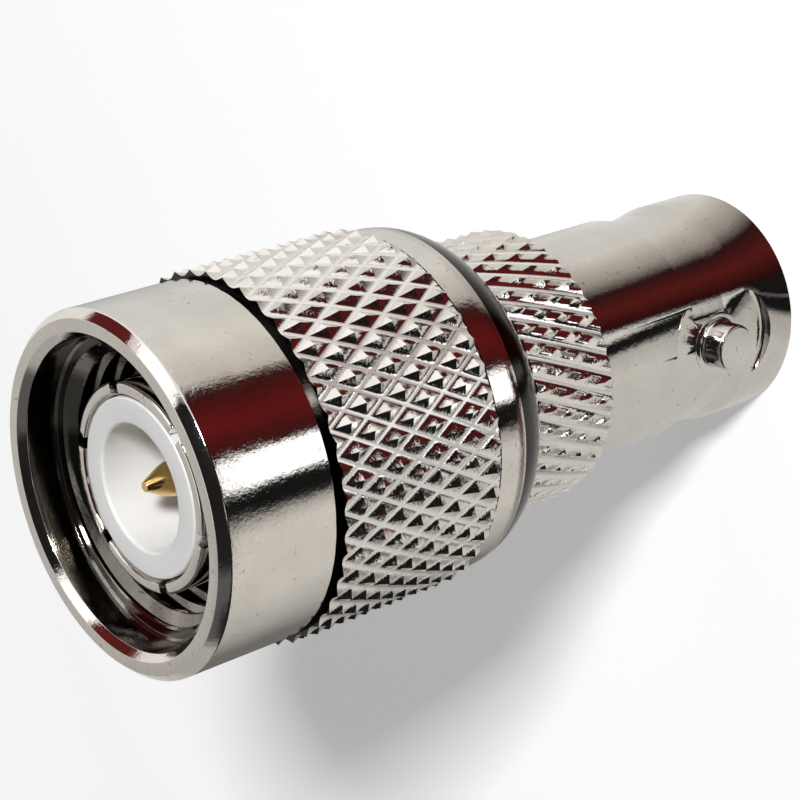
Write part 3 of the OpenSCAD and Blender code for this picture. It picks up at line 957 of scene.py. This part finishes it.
@dataclass
class Insulators:
    """The two white insulators."""

    def build(self) -> list[bpy.types.Object]:
        """Builds both insulators.

        Returns:
            Their objects.
        """
        plug = as_object(turned(eased([
            (1.65, 12.42), (2.95, 12.42), (2.95, 20.54), (3.5, 20.54), (3.5, 30.85, 0.1), (2.46, 30.85, 0.15),
            (2.46, 25.55, 0.1), (0.93, 25.55), (0.93, 24.57), (1.13, 24.57), (1.13, 12.44), (1.65, 12.44)])),
            "plug_insulator_visual")
        jack = as_object(turned(eased([
            (1.08, 3.45), (2.36, 3.45, 0.15), (2.36, 9.62), (2.95, 9.62), (2.95, 11.32), (1.08, 11.32)])),
            "jack_insulator_visual")
        placed(dressed(smoothed(plug), Finish.FLUOROPOLYMER), Body.SHELL, "plug_insulator")
        placed(dressed(smoothed(jack), Finish.FLUOROPOLYMER), Body.SHELL, "jack_insulator")
        return [plug, jack]


@dataclass
class CentreContact:
    """The gold-plated contact: pin in the plug, four-leaved socket in the jack."""

    def build(self) -> bpy.types.Object:
        """Builds the contact.

        Returns:
            Its object.
        """
        profile = eased([
            (0.0, 9.15), (0.665, 9.15), (0.665, 3.95), (0.865, 3.75, 0.03), (1.05, 3.75, 0.05), (1.05, 11.34),
            (1.6, 11.34, 0.05), (1.6, 12.34, 0.05), (1.1, 12.34), (1.1, 24.55), (0.9, 24.55), (0.9, 25.55, 0.04),
            (0.675, 25.6), (0.675, 29.5, 0.1), (0.57, 29.85, 0.03), (0.2, 30.6, 0.02), (0.0, 30.6)], 6)
        contact = as_object(turned(profile, 64, closed=False), "centre_contact_visual")
        for turn in (0, 90):
            cutter = box_mesh((-2.1, -0.15, 3.5), (2.1, 0.15, 7.75))
            bmesh.ops.rotate(cutter, verts=cutter.verts, matrix=Matrix.Rotation(math.radians(turn), 3, "Z"))
            combined(contact, as_object(cutter, "leaf_cutter"), "DIFFERENCE")
        return placed(dressed(smoothed(contact), Finish.GOLD), Body.SHELL, "centre_contact")


@dataclass
class NutFittings:
    """The gasket on the hub and the split ring in its groove."""

    def build(self) -> list[bpy.types.Object]:
        """Builds the gasket and the ring.

        Returns:
            Their objects.
        """
        gasket = as_object(turned(eased([
            (4.7, 20.52, 0.1), (5.5, 20.52, 0.2), (5.5, 21.92, 0.3), (4.7, 21.92, 0.3), (4.7, 20.52)])[:-1], 96),
            "face_gasket_visual")
        half = math.degrees(math.asin(0.8 / 5.0))
        ring = as_object(turned([(4.6, 17.25), (5.4, 17.25), (5.4, 18.05), (4.6, 18.05)], 90, True,
                                (half, 360 - half)), "retaining_ring_visual")
        placed(dressed(smoothed(gasket), Finish.SILICONE), Body.SHELL, "face_gasket")
        placed(dressed(smoothed(ring), Finish.BRONZE), Body.RING, "retaining_ring")
        return [gasket, ring]


# ---------------------------------------------------------------------------------------------
# The studio
# ---------------------------------------------------------------------------------------------


@dataclass(frozen=True)
class RoomPatch:
    """One soft-edged patch of the room that the metal mirrors."""

    azimuth: float
    height: float
    reach: float
    colour: tuple[float, float, float]

    def direction(self) -> Vector:
        """Gives the direction of its middle."""
        turn, lift = math.radians(self.azimuth), math.radians(self.height)
        return Vector((math.cos(turn) * math.cos(lift), math.sin(turn) * math.cos(lift), math.sin(lift)))


@dataclass
class Studio:
    """Pale floor, soft lamps, plain surroundings and the camera."""

    floor_size: float = 1.2
    lens: float = 102.825
    camera_place: tuple[float, float, float] = (66.846, 31.171, 72.63)
    camera_right: tuple[float, float, float] = (0.64369, -0.04813, -0.76377)
    camera_up: tuple[float, float, float] = (-0.23059, 0.93944, -0.25355)
    room: tuple[float, float, float] = (1.02, 1.0, 0.97)
    near: tuple[tuple, ...] = (
        (-155, (0.42, 0.41, 0.4)), (-83, (0.62, 0.61, 0.58)), (-15, (0.7, 0.69, 0.65)),
        (1, (0.55, 0.53, 0.5)), (5, (0.012, 0.012, 0.012)), (13, (0.01, 0.01, 0.01)),
        (16, (0.75, 0.75, 0.72)), (22, (0.8, 0.8, 0.78)), (26, (0.02, 0.005, 0.005)),
        (42, (0.11, 0.014, 0.012)), (58, (0.03, 0.01, 0.01)), (70, (0.4, 0.37, 0.33)),
        (97, (0.8, 0.78, 0.74)), (150, (0.8, 0.8, 0.78)), (205, (0.3, 0.3, 0.29)))
    belt: tuple[tuple, ...] = (
        (-155, (0.12, 0.12, 0.12)), (-108, (0.2, 0.19, 0.18)), (-85, (0.5, 0.49, 0.46)),
        (-60, (0.74, 0.72, 0.68)), (-20, (0.8, 0.78, 0.73)), (-12, (0.5, 0.48, 0.45)),
        (-7, (0.012, 0.012, 0.012)), (6, (0.01, 0.01, 0.01)), (8, (1.8, 1.8, 1.8)), (24, (1.8, 1.8, 1.8)), (25.5, (0.04, 0.01, 0.01)),
        (44, (0.15, 0.012, 0.012)), (66, (0.04, 0.01, 0.01)), (71, (0.66, 0.62, 0.57)),
        (97, (0.88, 0.86, 0.81)), (150, (0.8, 0.8, 0.78)), (205, (0.3, 0.3, 0.29)))
    foot: tuple[tuple, ...] = (
        (-155, (0.3, 0.3, 0.29)), (-70, (0.34, 0.33, 0.32)), (-45, (0.3, 0.27, 0.25)),
        (-12, (0.16, 0.08, 0.08)), (5, (0.012, 0.008, 0.008)), (40, (0.12, 0.01, 0.01)),
        (60, (0.03, 0.01, 0.01)), (69, (0.5, 0.48, 0.44)), (110, (0.8, 0.78, 0.74)), (205, (0.3, 0.3, 0.29)))
    far: tuple[tuple, ...] = (
        (-155, (0.75, 0.75, 0.74)), (-110, (0.55, 0.54, 0.52)), (-98, (0.3, 0.29, 0.28)),
        (-92, (0.012, 0.012, 0.012)), (34, (0.01, 0.01, 0.01)),
        (36, (0.06, 0.01, 0.01)), (62, (0.06, 0.01, 0.01)),
        (66, (1.15, 1.14, 1.12)), (120, (1.15, 1.14, 1.12)), (205, (0.75, 0.75, 0.74)))
    patches: tuple[RoomPatch, ...] = (
        RoomPatch(205, 33, 34, (0.62, 0.6, 0.57)),
        RoomPatch(250, 30, 40, (0.5, 0.49, 0.47)),
        RoomPatch(136, 27, 23, (0.13, 0.018, 0.018)),
        RoomPatch(-60, 40, 38, (0.12, 0.12, 0.12)),
        RoomPatch(-5, 52, 34, (0.02, 0.02, 0.02)),
        RoomPatch(30, 60, 32, (0.015, 0.015, 0.015)),
        RoomPatch(62, 58, 18, (0.015, 0.015, 0.015)),
        RoomPatch(-24, 12, 22, (0.02, 0.02, 0.02)),
        RoomPatch(-64, 6, 26, (0.02, 0.02, 0.02)),
        RoomPatch(22, 14, 24, (0.05, 0.012, 0.012)),
        RoomPatch(98, 48, 17, (1.5, 1.5, 1.5)))

    def build(self) -> None:
        """Builds the floor, the lamps, the world and the camera."""
        self._floor()
        self._world()
        self._lamp("window", (-165, 645, 405), 390, 0.4)
        self._lamp("front", (440, 445, 470), 120, 6.3)
        self._camera()
        bpy.context.scene.view_settings.view_transform = "Standard"

    def _floor(self) -> None:
        """Lays the floor."""
        made = bmesh.new()
        bmesh.ops.create_grid(made, x_segments=1, y_segments=1, size=self.floor_size / 2)
        floor = as_object(made, "floor")
        material = bpy.data.materials.new("floor_paper")
        material.use_nodes = True
        tree = NodeWriter(material.node_tree)
        place = tree.add("ShaderNodeTexCoord", out="Object")
        split = tree.node("ShaderNodeSeparateXYZ", {}, {0: place})
        x, y = Sock(tree, split.outputs[0]), Sock(tree, split.outputs[1])
        radius = (x * x + y * y).math("SQRT") / MM
        angle = y.math("ARCTAN2", x) * (180 / math.pi)
        # For glossy rays only, the floor glows a painted room: bands of light and dark by direction and by distance
        # from the axis, with a dark wedge by the foot, which the metal shows as painted reflections.
        foot = self._ramp(tree, angle, self.foot)
        streak = (1.0 - radius.step(7.0, 10.0)) * angle.step(13.0, 15.0) * (1.0 - angle.step(26.0, 28.0))
        tone = tree.blend(streak, self._ramp(tree, angle, self.near), (0.012, 0.01, 0.01, 1.0))
        tone = tree.blend(radius.step(19.5, 21.0), tone, foot)
        tone = tree.blend(radius.step(24.0, 27.0), tone, self._ramp(tree, angle, self.belt))
        tone = tree.blend(radius.step(68.0, 76.0), tone, self._ramp(tree, angle, self.far))
        paper = tree.add("ShaderNodeBsdfDiffuse", {}, {"Color": rgba((0.93, 0.93, 0.93))})
        seen = tree.add("ShaderNodeLightPath", out="Is Camera Ray")
        glow = tree.add("ShaderNodeEmission", {}, {"Color": rgba((1.0, 1.0, 1.0)),
                                                   "Strength": seen * (radius.step(70.0, 400.0) * 0.7 + 0.31)})
        lit = tree.add("ShaderNodeAddShader", {}, {0: paper, 1: glow})
        mirror = tree.add("ShaderNodeEmission", {}, {"Color": tone, "Strength": 1.0})
        glossy = tree.add("ShaderNodeLightPath", out="Is Glossy Ray")
        shader = tree.add("ShaderNodeMixShader", {}, {0: glossy, 1: lit, 2: mirror})
        tree.node("ShaderNodeOutputMaterial", {}, {"Surface": shader})
        floor.data.materials.append(material)

    @staticmethod
    def _ramp(tree: NodeWriter, angle: Sock, stops: Sequence[tuple]) -> Sock:
        """Gives the tone of the room by direction round the adapter, as the bright metal mirrors it.

        Args:
            tree: The tree that the nodes go into.
            angle: Direction about the adapter's axis, in degrees.
            stops: Directions in degrees, from -155 to 205, each with a colour.

        Returns:
            The tone, as a colour socket.
        """
        turn = (angle - 25.0 + 540.0).math("MODULO", 360.0) / 360.0
        places = [((direction + 155.0) / 360.0, colour) for direction, colour in stops]
        return tree.add("ShaderNodeValToRGB", {"stops": places}, {0: turn})

    def _world(self) -> None:
        """Sets the surroundings: an even sky for soft light, and the room as the metal mirrors it."""
        world = bpy.data.worlds.new("studio_room")
        world.use_nodes = True
        bpy.context.scene.world = world
        tree = NodeWriter(world.node_tree)
        place = tree.add("ShaderNodeTexCoord", out="Generated")
        tone: Sock | tuple[float, ...] = rgba(self.room)
        for patch in self.patches:
            toward = tree.add("ShaderNodeVectorMath", {"operation": "DOT_PRODUCT"},
                              {0: place, 1: tuple(patch.direction())}, "Value")
            near = toward.step(math.cos(math.radians(patch.reach)), math.cos(math.radians(0.8 * patch.reach)))
            tone = tree.blend(near, tone, rgba(patch.colour))
        mirror = tree.add("ShaderNodeBackground", {}, {"Color": tone, "Strength": 1.0})
        plain = tree.add("ShaderNodeBackground", {}, {"Color": rgba((1.0, 1.0, 1.0)), "Strength": 0.1})
        white = tree.add("ShaderNodeBackground", {}, {"Color": rgba((1.0, 1.0, 1.0)), "Strength": 1.0})
        glossy = tree.add("ShaderNodeLightPath", out="Is Glossy Ray")
        seen = tree.add("ShaderNodeLightPath", out="Is Camera Ray")
        shader = tree.add("ShaderNodeMixShader", {}, {0: glossy, 1: plain, 2: mirror})
        shader = tree.add("ShaderNodeMixShader", {}, {0: seen, 1: shader, 2: white})
        tree.node("ShaderNodeOutputWorld", {}, {"Surface": shader})

    @staticmethod
    def _lamp(name: str, place: Sequence[float], size: float, power: float) -> None:
        """Hangs a square lamp that faces the adapter.

        Args:
            name: The lamp's name.
            place: Its place, in millimetres.
            size: Its side, in millimetres.
            power: Its power in watts.
        """
        data = bpy.data.lights.new(name, "AREA")
        data.shape, data.size, data.energy = "SQUARE", size * MM, power
        lamp = bpy.data.objects.new(name, data)
        lamp.location = Vector(place) * MM
        lamp.rotation_mode = "QUATERNION"
        lamp.rotation_quaternion = (Vector((0, 0, 16)) - Vector(place)).to_track_quat("-Z", "Y")
        bpy.context.scene.collection.objects.link(lamp)

    def _camera(self) -> None:
        """Places the camera."""
        data = bpy.data.cameras.new("camera")
        data.lens, data.sensor_width = self.lens, 36.0
        data.clip_start, data.clip_end = 0.005, 10.0
        camera = bpy.data.objects.new("camera", data)
        right, up = Vector(self.camera_right), Vector(self.camera_up)
        back = right.cross(up)
        turn = Matrix((right, up, back)).transposed().to_4x4()
        camera.matrix_world = Matrix.Translation(Vector(self.camera_place) * MM) @ turn
        bpy.context.scene.collection.objects.link(camera)
        bpy.context.scene.camera = camera


def main() -> None:
    """Builds every sub-assembly in order and reports it."""
    logging.basicConfig(level=logging.INFO, format="%(message)s")
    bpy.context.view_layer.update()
    for assembly in (CouplingNut(), AdapterShell(), OuterContact(), Insulators(), CentreContact(),
                     NutFittings(), Studio()):
        assembly.build()
        LOG.info("%s built", type(assembly).__name__)


if __name__ == "__main__":
    main()
